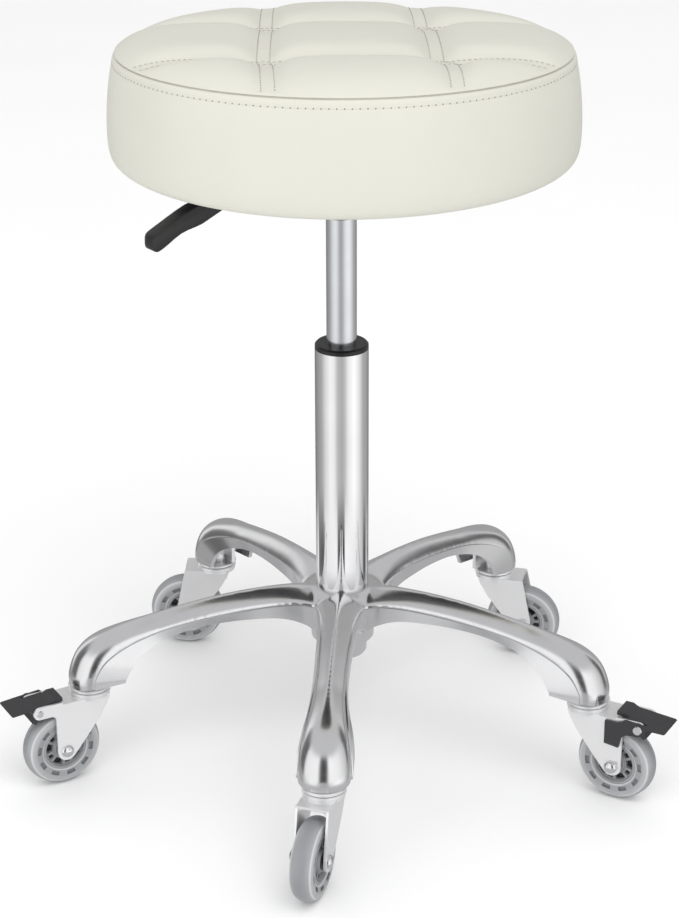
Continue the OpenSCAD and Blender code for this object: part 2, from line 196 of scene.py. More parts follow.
def clean(ob, dist=0.000012):
    bm = bmesh.new()
    bm.from_mesh(ob.data)
    bmesh.ops.remove_doubles(bm, verts=bm.verts, dist=dist)
    bmesh.ops.dissolve_degenerate(bm, edges=bm.edges, dist=dist)
    bmesh.ops.recalc_face_normals(bm, faces=bm.faces)
    bm.to_mesh(ob.data)
    bm.free()
    return ob


def remesh(ob, size, smooth=0, factor=0.5):
    m = ob.modifiers.new("r", "REMESH")
    m.mode = "VOXEL"
    m.voxel_size = size
    m.adaptivity = 0
    if smooth:
        s = ob.modifiers.new("s", "SMOOTH")
        s.factor = factor
        s.iterations = smooth
    bpy.context.view_layer.update()
    return apply_modifiers(ob)


def join(name, obs):
    verts, faces = [], []
    for o in obs:
        n = len(verts)
        verts += [tuple(v.co) for v in o.data.vertices]
        faces += [[n + i for i in p.vertices] for p in o.data.polygons]
        me = o.data
        bpy.data.objects.remove(o)
        bpy.data.meshes.remove(me)
    return make(name, verts, faces, mm=False)


def plate(name, outline, y0, y1, bevel=0.4):
    """Outline of (x, z) points as a plate from y0 to y1, with rounded edges."""
    n = len(outline)
    verts = [(x, y0, z) for x, z in outline] + [(x, y1, z) for x, z in outline]
    faces = [list(range(n))[::-1], list(range(n, 2 * n))] + [[i, (i + 1) % n, n + (i + 1) % n, n + i] for i in range(n)]
    ob = make(name, verts, faces)
    if bevel:
        m = ob.modifiers.new("b", "BEVEL")
        m.width = bevel * MM
        m.segments = 2
        m.limit_method = "ANGLE"
        m.angle_limit = math.radians(28)
        bpy.context.view_layer.update()
        apply_modifiers(ob)
    return ob


# ---------------------------------------------------------------- materials
class Mat:
    def __init__(self, name):
        self.m = bpy.data.materials.new(name)
        self.m.use_nodes = True
        self.t = self.m.node_tree
        self.t.nodes.clear()
        self.out = self.n("ShaderNodeOutputMaterial")
        self.b = self.n("ShaderNodeBsdfPrincipled")
        self.l(self.b, 0, self.out, 0)

    def n(self, kind, **values):
        node = self.t.nodes.new(kind)
        for k, v in values.items():
            setattr(node, k, v)
        return node

    def l(self, a, i, b, j):
        self.t.links.new(a.outputs[i], b.inputs[j])

    def set(self, **values):
        for k, v in values.items():
            self.b.inputs[k.replace("_", " ")].default_value = v
        return self

    def coords(self):
        if not hasattr(self, "_c"):
            self._c = self.n("ShaderNodeTexCoord")
        return self._c

    def noise(self, scale, detail=3.0, rough=0.55, stretch=None):
        nz = self.n("ShaderNodeTexNoise")
        nz.inputs["Scale"].default_value = scale
        nz.inputs["Detail"].default_value = detail
        nz.inputs["Roughness"].default_value = rough
        if stretch:
            mp = self.n("ShaderNodeMapping")
            mp.inputs["Scale"].default_value = stretch
            self.l(self.coords(), "Object", mp, 0)
            self.l(mp, 0, nz, 0)
        else:
            self.l(self.coords(), "Object", nz, 0)
        return nz

    def ramp(self, node, out, stops):
        r = self.n("ShaderNodeValToRGB")
        e = r.color_ramp.elements
        while len(e) > 1:
            e.remove(e[-1])
        e[0].position, e[0].color = stops[0][0], rgba(stops[0][1])
        for p, c in stops[1:]:
            x = e.new(p)
            x.color = rgba(c)
        self.l(node, out, r, 0)
        return r

    def bump(self, node, out, distance, strength=1.0, after=None):
        b = self.n("ShaderNodeBump")
        b.inputs["Strength"].default_value = strength
        b.inputs["Distance"].default_value = distance
        self.l(node, out, b, "Height")
        if after is not None:
            self.l(after, 0, b, "Normal")
        self.l(b, 0, self.b, "Normal")
        return b


def rgba(c):
    if isinstance(c, (int, float)):
        return (c, c, c, 1)
    return (c[0], c[1], c[2], 1)


def srgb(r, g, b):
    f = lambda v: (v / 255 / 12.92) if v / 255 <= 0.04045 else ((v / 255 + 0.055) / 1.055) ** 2.4
    return (f(r), f(g), f(b))


def leather(name, tint):
    m = Mat(name)
    base = m.noise(7, 4, 0.6)
    col = m.ramp(base, "Fac", [(0.3, tuple(c * 0.965 for c in tint)), (0.7, tint)])
    m.l(col, 0, m.b, "Base Color")
    rough = m.noise(60, 3)
    rr = m.ramp(rough, "Fac", [(0.3, 0.40), (0.7, 0.50)])
    m.l(rr, 0, m.b, "Roughness")
    vor = m.n("ShaderNodeTexVoronoi")
    vor.feature = "DISTANCE_TO_EDGE"
    vor.inputs["Scale"].default_value = 900
    warp = m.noise(420, 2)
    mix = m.n("ShaderNodeMix", data_type="VECTOR")
    mix.inputs["Factor"].default_value = 0.0012
    m.l(m.coords(), "Object", mix, 4)
    m.l(warp, "Color", mix, 5)
    m.l(mix, 1, vor, "Vector")
    grain = m.ramp(vor, "Distance", [(0.0, 0.0), (0.18, 1.0)])
    b1 = m.bump(grain, 0, 0.00006, 0.45)
    fine = m.noise(2600, 2)
    b2 = m.bump(fine, "Fac", 0.00003, 0.3, after=b1)
    soft = m.noise(26, 2)
    m.bump(soft, "Fac", 0.0006, 0.12, after=b2)
    m.set(Specular_IOR_Level=0.42, Sheen_Weight=0.04, Sheen_Roughness=0.4)
    return m.m


def metal(name, color, rough, spread=0.05, aniso=0.0, grain=None, grain_d=0.00001, wave=0.0, tint_spread=0.04, bevel=0.0):
    m = Mat(name)
    m.set(Metallic=1.0, Anisotropic=aniso)
    big = m.noise(16, 3)
    col = m.ramp(big, "Fac", [(0.3, tuple(c * (1 - tint_spread) for c in color)), (0.7, color)])
    m.l(col, 0, m.b, "Base Color")
    rn = m.noise(90, 4, 0.65)
    rr = m.ramp(rn, "Fac", [(0.3, max(rough - spread / 2, 0.01)), (0.7, rough + spread / 2)])
    m.l(rr, 0, m.b, "Roughness")
    last = None
    if bevel:
        last = m.n("ShaderNodeBevel")
        last.samples = 4
        last.inputs["Radius"].default_value = bevel
        m.l(last, 0, m.b, "Normal")
    if grain:
        g = m.noise(grain[0], 3, 0.6, stretch=grain[1])
        last = m.bump(g, "Fac", grain_d, 0.6, after=last)
    if wave:
        w = m.noise(34, 1)
        m.bump(w, "Fac", wave, 0.5, after=last)
    return m.m


def plastic(name, color, rough, grain=700, depth=0.00005, spread=0.08, spec=0.5, bevel=0.0, worn=0.0):
    m = Mat(name)
    big = m.noise(24, 3)
    col = m.ramp(big, "Fac", [(0.3, tuple(c * 0.86 for c in color)), (0.72, color)])
    if worn:
        geo = m.n("ShaderNodeNewGeometry")
        edge = m.ramp(geo, "Pointiness", [(0.52, 0.0), (0.6, 1.0)])
        mx = m.n("ShaderNodeMix", data_type="RGBA")
        m.l(edge, 0, mx, 0)
        m.l(col, 0, mx, 6)
        mx.inputs[7].default_value = rgba(tuple(min(1, c + worn) for c in color))
        m.l(mx, 2, m.b, "Base Color")
    else:
        m.l(col, 0, m.b, "Base Color")
    rn = m.noise(140, 3)
    rr = m.ramp(rn, "Fac", [(0.3, rough - spread / 2), (0.7, rough + spread / 2)])
    m.l(rr, 0, m.b, "Roughness")
    last = None
    if bevel:
        last = m.n("ShaderNodeBevel")
        last.samples = 4
        last.inputs["Radius"].default_value = bevel
        m.l(last, 0, m.b, "Normal")
    g = m.noise(grain, 2)
    m.bump(g, "Fac", depth, 0.5, after=last)
    m.set(Specular_IOR_Level=spec)
    return m.m


def tyre_material():
    """Clouded grey elastomer, darker along the tread; the pale ring at the bead lip and the narrow pale band on the
    shoulder are painted highlights, and the side recesses carry painted shade.
    """
    m = Mat("grey_elastomer")
    at = m.n("ShaderNodeAttribute")
    at.attribute_name = "ring"
    # colour by radius: the pale stops at 0.0 (bead lip) and 0.76 (shoulder) are painted highlights
    base = m.ramp(at, "Fac", [(0.0, srgb(206, 207, 208)), (0.05, srgb(186, 187, 188)), (0.12, srgb(146, 148, 150)), (0.40, srgb(150, 152, 154)), (0.50, srgb(164, 166, 168)),
                              (0.68, srgb(174, 175, 177)), (0.76, srgb(206, 207, 208)), (0.82, srgb(158, 160, 162)), (1.0, srgb(138, 140, 143))])
    cloud = m.noise(34, 2)
    dark = m.n("ShaderNodeMix", data_type="RGBA", blend_type="MULTIPLY")
    dark.inputs[0].default_value = 1.0
    tone = m.ramp(cloud, "Fac", [(0.3, 0.985), (0.7, 1.0)])
    m.l(base, 0, dark, 6)
    m.l(tone, 0, dark, 7)
    # the floors of the side recesses are darkened: painted shade in the recesses
    pk = m.n("ShaderNodeAttribute")
    pk.attribute_name = "pocket_shade"
    recess_shade_mix = m.n("ShaderNodeMix", data_type="RGBA")
    m.l(pk, "Fac", recess_shade_mix, 0)
    m.l(dark, 2, recess_shade_mix, 6)
    recess_shade_mix.inputs[7].default_value = rgba(srgb(116, 118, 121))
    m.l(recess_shade_mix, 2, m.b, "Base Color")
    rn = m.noise(200, 3)
    rr = m.ramp(rn, "Fac", [(0.3, 0.28), (0.7, 0.31)])
    m.l(rr, 0, m.b, "Roughness")
    m.set(Specular_IOR_Level=0.5, Coat_Weight=0.25, Coat_Roughness=0.18, Subsurface_Weight=0.15)
    m.b.inputs["Subsurface Radius"].default_value = (0.004, 0.004, 0.004)
    return m.m


def wood_material():
    m = Mat("plywood")
    n1 = m.noise(18, 5, 0.6, stretch=(1, 14, 1))
    col = m.ramp(n1, "Fac", [(0.3, srgb(168, 128, 84)), (0.55, srgb(196, 160, 112)), (0.75, srgb(210, 178, 134))])
    m.l(col, 0, m.b, "Base Color")
    rr = m.ramp(m.noise(60), "Fac", [(0.3, 0.55), (0.7, 0.7)])
    m.l(rr, 0, m.b, "Roughness")
    m.bump(n1, "Fac", 0.0002, 0.4)
    return m.m


def cloth_material():
    m = Mat("nonwoven_cloth")
    n1 = m.noise(1500, 4, 0.7, stretch=(1, 0.25, 1))
    n2 = m.noise(1500, 4, 0.7, stretch=(0.25, 1, 1))
    mx = m.n("ShaderNodeMix", data_type="RGBA", blend_type="LIGHTEN")
    mx.inputs[0].default_value = 1.0
    m.l(n1, "Fac", mx, 6)
    m.l(n2, "Fac", mx, 7)
    col = m.ramp(mx, 2, [(0.35, srgb(30, 30, 31)), (0.7, srgb(62, 62, 64))])
    m.l(col, 0, m.b, "Base Color")
    rr = m.ramp(n1, "Fac", [(0.3, 0.8), (0.7, 0.95)])
    m.l(rr, 0, m.b, "Roughness")
    m.bump(mx, 2, 0.0002, 0.6)
    m.set(Sheen_Weight=0.2)
    return m.m


IVORY = leather("ivory_leatherette", srgb(211, 210, 199))
# cream thread darkened to grey for the top seams: painted shade of the seam grooves
GROOVE_SHADED_THREAD = plastic("cream_thread_groove_shade", srgb(168, 165, 152), 0.6, grain=4000, depth=0.0001)
# dark colour for the needle holes of the band stitching: painted shade inside the holes
HOLE_SHADE = plastic("needle_hole_shade", srgb(128, 125, 114), 0.8, grain=3000, depth=0.0001)
SEAM = plastic("seam_shadow", srgb(196, 193, 180), 0.8, grain=3000, depth=0.0001)
CHROME = metal("mirror_chrome", (0.80, 0.80, 0.81), 0.035, 0.02, wave=0.00001)
SATIN = metal("satin_steel", (0.72, 0.73, 0.75), 0.24, 0.06, aniso=0.5, grain=(900, (1, 1, 0.06)), grain_d=0.00002)
POLISHED = metal("polished_aluminium", (0.80, 0.80, 0.81), 0.21, 0.05, wave=0.00004, grain=(500, (1, 1, 1)), grain_d=0.000004)
CAST = metal("cast_inside", (0.58, 0.58, 0.6), 0.42, 0.1, grain=(700, (1, 1, 1)), grain_d=0.00008)
ZINC = metal("bright_zinc", (0.94, 0.94, 0.945), 0.32, 0.06, bevel=0.0005)
ZINC.node_tree.nodes["Principled BSDF"].inputs["Metallic"].default_value = 0.75
STEEL = metal("ground_steel", (0.8, 0.8, 0.82), 0.16, 0.06, bevel=0.0002)
BRASS = metal("turned_brass", (0.78, 0.62, 0.32), 0.28, 0.08)
BLACK = plastic("black_moulding", srgb(50, 50, 52), 0.5, grain=900, depth=0.00006, bevel=0.0004)
BLACK_STEEL = plastic("black_powder_coat", srgb(38, 38, 40), 0.42, grain=1300, depth=0.0001, bevel=0.0005)
CAP = plastic("cap_black", srgb(20, 20, 21), 0.35, grain=500, depth=0.00002)
LEVER = plastic("lever_black", srgb(32, 32, 34), 0.4, grain=1000, depth=0.00007)
CORE = plastic("wheel_core_grey", srgb(150, 151, 153), 0.3, grain=300, depth=0.00002)
FOAM = plastic("cut_foam", srgb(232, 224, 180), 0.9, grain=900, depth=0.0006)
NYLON = plastic("black_nylon", srgb(34, 34, 36), 0.4)
TYRE = tyre_material()
WOOD = wood_material()
CLOTH = cloth_material()

for node, mat in {
    "outer_column": CHROME, "gas_cylinder": SATIN, "guide_bush": CAP, "base_star": POLISHED, "caster_stems": STEEL, "grip_rings": STEEL,
    "raceway_cups": ZINC, "swivel_balls": STEEL, "retaining_clip": STEEL, "piston_rod": STEEL, "piston": NYLON, "thrust_bearing": STEEL,
    "cylinder_guide": NYLON, "valve_body": BRASS, "seat_plate": BLACK_STEEL, "taper_socket": BLACK_STEEL, "lever_bracket": BLACK_STEEL,
    "seat_board": WOOD, "seat_foam": FOAM, "seat_top_cover": IVORY, "seat_band": IVORY, "dust_cover": CLOTH, "t_nuts": ZINC,
    "seat_bolts": STEEL, "bolt_washers": ZINC, "lever_rod": STEEL, "lever_paddle": LEVER, "release_pin": STEEL,
}.items():
    NODES[node].data.materials.clear()
    NODES[node].data.materials.append(mat)
for c in CASTERS:
    for node, mat in (("fork_", ZINC), ("axle_", STEEL), ("tyre_", TYRE), ("core_", CORE), ("bushes_", NYLON), ("pedal_", BLACK), ("pedal_pin_", STEEL)):
        if node + c in NODES:
            NODES[node + c].data.materials.clear()
            NODES[node + c].data.materials.append(mat)

PLACE = Matrix.Translation((AX, AY, 0))


# ---------------------------------------------------------------- cushion
def build_cushion():
    """One sewn cover over foam: a crowned top in quilted panels, a band, and the wrap under the board."""
    half = 5.6
    # sewn rows across the top: two long seams, jogged where the panels meet, and two cross seams
    long_seams = [
        [((-71.6, 190), (-70.4, 58)), ((-69.8, 58), (-68.6, -93)), ((-66.4, -93), (-61.6, -194))],
        [((66.5, 190), (69.4, 58)), ((75.6, 58), (78.4, -93)), ((89.4, -93), (91.6, -180))],
    ]
    cross_y = [58.0, -93.0]

    def long_centre(k, y):
        for (x0, y0), (x1, y1) in long_seams[k]:
            if y1 - 1e-6 <= y <= y0 + 1e-6 or (y > y0 and y0 > 100) or (y < y1 and y1 < -150):
                return x0 + (x1 - x0) * (y - y0) / (y1 - y0)
        return long_seams[k][1][0][0]

    def smooth_centre(k, y):
        # the jog at a cross seam is taken up over a few millimetres
        return sum(long_centre(k, y + d) for d in (-4, -2, 0, 2, 4)) / 5

    RT = 200.6

    def height(x, y):
        r = math.hypot(x, y)
        e = max(RT - r, 0)
        zr = 701.4 + (5.0 - 2.6 * min(1, max(0, (y - 40) / 120))) * (1 - math.exp(-e / 16)) + 1.2 * (1 - (r / RT) ** 2)
        puff = (12.4 - 2.4 * min(1, max(0, (y - 40) / 120))) * (1 - math.exp(-e / 21))
        f = 1.0
        for k in (0, 1):
            d = max(abs(x - smooth_centre(k, y)) - half, 0)
            near = min(abs(y - c) for c in cross_y)
            depth = 0.66 + 0.34 * math.exp(-(near / 34) ** 2)
            f *= 1 - depth * math.exp(-(d / 11.5) ** 1.2)
        for c in cross_y:
            d = max(abs(y - c) - half, 0)
            near = min(abs(x - smooth_centre(k, y)) for k in (0, 1))
            depth = 0.74 + 0.26 * math.exp(-(near / 34) ** 2)
            f *= 1 - depth * math.exp(-(d / (8.5 if c < 0 else 10.5)) ** 1.2)
        return zr + puff * f

    rim_n = 252
    pts, edges, tag = [], [], []

    def add(x, y, t):
        pts.append((x, y))
        tag.append(t)
        return len(pts) - 1

    rim = [add(RT * math.cos(2 * math.pi * i / rim_n), RT * math.sin(2 * math.pi * i / rim_n), "rim") for i in range(rim_n)]
    for i in range(rim_n):
        edges.append((rim[i], rim[(i + 1) % rim_n]))
    rows = []
    lim = RT - 5
    for k in (0, 1):
        for s in (-half, 0, half):
            row = []
            y = math.sqrt(lim ** 2 - (smooth_centre(k, 180) + s) ** 2) if abs(smooth_centre(k, 180)) < lim else 0
            steps = int(2 * 190 / 4.6)
            for i in range(steps + 1):
                yy = 190 - 380 * i / steps
                xx = smooth_centre(k, yy) + s
                if math.hypot(xx, yy) < lim:
                    row.append((xx, yy))
            rows.append((row, s))
    for c in cross_y:
        for s in (-half, 0, half):
            row = []
            steps = int(2 * 196 / 4.6)
            for i in range(steps + 1):
                xx = -196 + 392 * i / steps
                if math.hypot(xx, c + s) < lim:
                    row.append((xx, c + s))
            rows.append((row, s))
    seam_pts = []
    for row, s in rows:
        for x, y in row:
            if all((x - a) ** 2 + (y - b) ** 2 > 2.2 ** 2 for a, b in seam_pts):
                seam_pts.append((x, y))
                add(x, y, "seam" if s else "mid")
    grid = np.array(seam_pts)
    h = 5.6
    for j in range(-42, 43):
        for i in range(-42, 43):
            x, y = (i + 0.5 * (j % 2)) * h, j * h * 0.866
            if math.hypot(x, y) < RT - 4.2 and ((grid - (x, y)) ** 2).sum(1).min() > 3.6 ** 2:
                add(x, y, "free")
    vs, _, fs, over, _, _ = delaunay_2d_cdt([Vector(p) for p in pts], edges, [], 1, 1e-5)
    verts = [(v.x, v.y, height(v.x, v.y)) for v in vs]
    kinds = [tag[o[0]] if o else "free" for o in over]
    faces = [list(f) for f in fs]
    order = sorted([i for i, k in enumerate(kinds) if k == "rim"], key=lambda i: math.atan2(verts[i][1], verts[i][0]) % (2 * math.pi))
    for i in order:
        verts[i] = (verts[i][0], verts[i][1], 701.6)
    # down the band, under the board and back up inside it
    profile = [(201.4, 700.8, "p"), (199.9, 699.8, "p"), (199.9, 699.3, "p"), (202.2, 698.7, "p"), (203.1, 696.6, "p"), (203.4, 694.2, "p"), (203.35, 692.2, "p"), (204.0, 690.0, "b"),
               (204.9, 685.0, "b"), (206.0, 678.5, "b"), (207.0, 671, "b"), (207.9, 663, "b"), (208.6, 655, "b"), (209.2, 647, "b"), (209.6, 639, "b"), (209.8, 631, "b"),
               (209.8, 624, "b"), (209.7, 616.5, "b"), (209.2, 610, "b"), (208.0, 604.6, "p"), (205.6, 600.9, "p"), (201.5, 598.9, "p"), (196, 598.2, "p"),
               (186, 598.4, "p"), (176.4, 599.6, "p"), (175.8, 600.9, "p"), (176.4, 602.3, "p"), (183, 602.3, "p"), (190.15, 602.3, "p"), (190.15, 608, "p"), (190.15, 615.1, "p"),
               (170, 615.1, "p"), (145, 615.1, "p"), (120, 615.1, "p"), (117, 623, "p"), (90, 623, "p"), (60, 623, "p"), (30, 623, "p")]
    last = order
    for r, z, k in profile:
        row = []
        for i in range(rim_n):
            a = 2 * math.pi * i / rim_n
            row.append(len(verts))
            verts.append((r * math.cos(a), r * math.sin(a), z))
            kinds.append("pin" if k == "p" else "band")
        for i in range(rim_n):
            j = (i + 1) % rim_n
            faces.append([last[i], last[j], row[j], row[i]])
        last = row
    verts.append((0, 0, 623))
    kinds.append("pin")
    for i in range(rim_n):
        faces.append([last[i], last[(i + 1) % rim_n], len(verts) - 1])
    ob = make("cushion", verts, faces, smooth=None)
    rest = np.array([v.co for v in ob.data.vertices])
    group = ob.vertex_groups.new(name="pin")
    for i, k in enumerate(kinds):
        w = {"rim": 1.0, "seam": 1.0, "mid": 0.75, "pin": 1.0}.get(k, 0.0)
        if w:
            group.add([i], w, "REPLACE")
    cloth = ob.modifiers.new("cloth", "CLOTH")
    st = cloth.settings
    st.quality = 6
    st.mass = 0.25
    st.tension_stiffness = 28
    st.compression_stiffness = 10
    st.shear_stiffness = 12
    st.bending_stiffness = 1.2
    st.use_pressure = True
    st.uniform_pressure_force = 4.0
    st.effector_weights.gravity = 0.0
    st.vertex_group_mass = "pin"
    st.pin_stiffness = 20
    cloth.collision_settings.use_collision = False
    cloth.collision_settings.use_self_collision = False
    cloth.point_cache.frame_start = 1
    cloth.point_cache.frame_end = 20
    for f in range(1, 21):
        scene.frame_set(f)
    deps = bpy.context.evaluated_depsgraph_get()
    got = np.array([v.co for v in ob.evaluated_get(deps).data.vertices])
    ob.modifiers.clear()
    ob.vertex_groups.clear()
    scene.frame_set(1)
    move = got - rest
    size = np.linalg.norm(move, axis=1)
    print("CLOTH moved at most %.2f mm, mean %.2f mm" % (size.max() * 1000, size.mean() * 1000))
    cap = np.array([0.0035 if k == "free" else 0.0022 for k in kinds])
    k = np.minimum(1.0, cap / np.maximum(size, 1e-9))
    # a soft cap, so that the capped area keeps the shape of the motion
    k = np.where(size > 1e-7, cap * np.tanh(size / cap) / np.maximum(size, 1e-9), 0)
    new = rest + move * k[:, None]
    ob.data.vertices.foreach_set("co", new.astype(np.float32).ravel())
    # the thread pulls each sewn row in
    co = np.array([v.co for v in ob.data.vertices])
    for i, k in enumerate(kinds):
        if k == "seam":
            co[i, 2] -= 0.0009
    ob.data.vertices.foreach_set("co", co.astype(np.float32).ravel())
    s = ob.modifiers.new("s", "SUBSURF")
    s.levels = s.render_levels = 1
    bpy.context.view_layer.update()
    apply_modifiers(ob)
    return ob, rows, smooth_centre, cross_y, half


def tip_back(ob):
    """The top of the seat leans back a little: the rear of the rim is lower than the front."""
    for v in ob.data.vertices:
        f = min(1.0, max(0.0, (v.co.z - 0.618) / 0.08))
        v.co.z -= 0.0185 * f * (v.co.y + 0.202) / 0.404
    ob.data.update()


cushion, seam_rows, seam_centre, cross_y, half = build_cushion()


def tube_bits(name, bits, radius, mat, segs=8, flat=0.7):
    """Short rounded threads. bits: (start, end, normal) in metres."""
    verts, faces = [], []
    prof = [(0.0, 0.0), (0.06, 0.7), (0.2, 1.0), (0.8, 1.0), (0.94, 0.7), (1.0, 0.0)]
    for a, b, nrm in bits:
        t = (b - a)
        n = nrm.normalized()
        side = t.cross(n).normalized()
        up = side.cross(t).normalized()
        first = len(verts)
        rows = []
        for f, w in prof:
            c = a + t * f
            if w == 0:
                rows.append([len(verts)] * segs)
                verts.append(tuple(c))
            else:
                r = []
                for i in range(segs):
                    an = 2 * math.pi * i / segs
                    p = c + side * (math.cos(an) * radius * w) + up * (math.sin(an) * radius * w * flat)
                    r.append(len(verts))
                    verts.append(tuple(p))
                rows.append(r)
        for k in range(len(rows) - 1):
            p, q = rows[k], rows[k + 1]
            for i in range(segs):
                j = (i + 1) % segs
                g = []
                for v in (p[i], p[j], q[j], q[i]):
                    if v not in g:
                        g.append(v)
                if len(g) > 2:
                    faces.append(g)
    return make(name, verts, faces, mat, mm=False, smooth=60)


def sew(cushion):
    deps = bpy.context.evaluated_depsgraph_get()
    tree = BVHTree.FromObject(cushion, deps)
    thread, holes = [], []

    def walk(points, cast, pitch, gap, out, out_holes, r):
        lengths = [0.0]
        for p, q in zip(points, points[1:]):
            lengths.append(lengths[-1] + (q - p).length)
        total = lengths[-1]

        def at(s):
            for i in range(len(lengths) - 1):
                if s <= lengths[i + 1]:
                    f = (s - lengths[i]) / max(lengths[i + 1] - lengths[i], 1e-9)
                    return points[i].lerp(points[i + 1], f)
            return points[-1]
        n = int(total / pitch)
        for i in range(n):
            a, b = cast(at(i * pitch + gap / 2)), cast(at((i + 1) * pitch - gap / 2))
            if a is None or b is None:
                continue
            nrm = (a[1] + b[1]).normalized()
            out.append((a[0] + nrm * r * 0.15, b[0] + nrm * r * 0.15, nrm))
            h0, h1 = cast(at(i * pitch - gap * 0.3)), cast(at(i * pitch + gap * 0.3))
            if h0 and h1:
                out_holes.append((h0[0] - nrm * r * 0.25, h1[0] - nrm * r * 0.25, nrm))

    def down(p):
        hit = tree.ray_cast(Vector((p.x, p.y, 0.8)), Vector((0, 0, -1)))
        return (hit[0], hit[1]) if hit[0] is not None else None

    def inward(p):
        d = Vector((-p.x, -p.y, 0)).normalized()
        hit = tree.ray_cast(Vector((p.x, p.y, p.z)) - d * 0.1, d)
        return (hit[0], hit[1]) if hit[0] is not None else None
    for k in (0, 1):
        for s in (-half, half):
            pts = []
            for i in range(0, 400):
                y = 192 - i
                x = seam_centre(k, y) + s
                if math.hypot(x, y) < 199.8:
                    pts.append(Vector((x * MM, y * MM, 0)))
            walk(pts, down, 0.0047, 0.0018, thread, holes, 0.00045)
    for c in cross_y:
        for s in (-half, half):
            pts = []
            for i in range(0, 400):
                x = -200 + i
                if math.hypot(x, c + s) < 199.8:
                    pts.append(Vector((x * MM, (c + s) * MM, 0)))
            walk(pts, down, 0.0047, 0.0018, thread, holes, 0.00045)
    lean = lambda z, y: z - 0.0185 * min(1.0, max(0.0, (z - 0.618) / 0.08)) * (y + 0.202) / 0.404
    pts = []
    for i in range(721):
        a = 2 * math.pi * i / 720
        pts.append(Vector((0.21 * math.cos(a), 0.21 * math.sin(a), lean(0.6922, 0.203 * math.sin(a)))))
    band_thread = []
    dots = []
    walk(pts, inward, 0.21 * 2 * math.pi / 204, 0.0021, band_thread, dots, 0.0004)
    # top-seam thread in the darkened thread colour: painted shade of the grooves
    t = tube_bits("stitching", thread, 0.00048, GROOVE_SHADED_THREAD)
    bt = tube_bits("band_stitching", band_thread, 0.0004, IVORY)
    finish_mesh(transform(bt, seat_place), IVORY, "seat", 50)
    # dark capsules between the band stitches: painted shade of the needle holes
    h = tube_bits("needle_hole_shade_dots", dots, 0.0007, HOLE_SHADE, flat=0.5)
    ring = []
    for i in range(361):
        a = 2 * math.pi * i / 360
        ring.append(Vector((0.2006 * math.cos(a), 0.2006 * math.sin(a), lean(0.69965, 0.2006 * math.sin(a)))))
    verts, faces = [], []
    for i in range(360):
        out = Vector((ring[i].x, ring[i].y, 0)).normalized()
        for k in range(6):
            an = 2 * math.pi * k / 6
            verts.append(tuple(ring[i] + out * (0.0003 * math.cos(an)) + Vector((0, 0, 0.0003 * math.sin(an)))))
        for k in range(6):
            j, l = (i + 1) % 360, (k + 1) % 6
            faces.append([i * 6 + k, i * 6 + l, j * 6 + l, j * 6 + k])
    r = make("seam_line", verts, faces, SEAM, mm=False)
    return t, h, r


tip_back(cushion)
seat_place = PLACE @ Matrix.Rotation(TURN, 4, "Z") @ Matrix.Translation((0.003, 0, 0))
stitches, hole_shade_dots, rim_line = sew(cushion)
seat_place = PLACE @ Matrix.Rotation(TURN, 4, "Z") @ Matrix.Translation((0.003, 0, 0))
for ob, slot_name, mat in ((cushion, "upholstery", IVORY), (stitches, "upholstery", GROOVE_SHADED_THREAD), (hole_shade_dots, "upholstery", HOLE_SHADE), (rim_line, "upholstery", SEAM)):
    transform(ob, seat_place)
    finish_mesh(ob, mat, "seat", 50)
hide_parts("seat_foam", "seat_top_cover", "seat_band")


# ---------------------------------------------------------------- cast base
STATIONS = [
    [14, 169.5, 14, 158, 14, 134, 27.0],
    [30, 172.6, 30, 160, 30, 134, 26.6],
    [46, 175.2, 46, 163, 43, 142, 22.0],
    [70, 176.0, 69, 163, 64, 149, 18.6],
    [98, 175.0, 97, 161.5, 94, 151.4, 17.4],
    [128, 172.0, 126, 158.6, 122, 151, 16.6],
    [156, 167.4, 153, 154.6, 147, 148.2, 16.0],
    [184, 161.8, 178, 149.8, 168, 143.2, 16.2],
    [208, 156.2, 199, 143.8, 183, 138.2, 17.6],
    [226, 150.8, 215, 138, 194, 133, 19.6],
    [241, 144.6, 227, 132, 202, 127.5, 21.8],
    [252, 136.8, 236, 125.4, 208.6, 120.5, 23.6],
    [260, 127.0, 242, 117.4, 213, 113.5, 24.6],
    [265.2, 114.5, 245.6, 109.6, 215.4, 108.4, 25],
    [267.4, 105, 246.8, 104.6, 216.4, 106.2, 25],
    [266.8, 97, 246.8, 99.6, 216.8, 104, 25]]


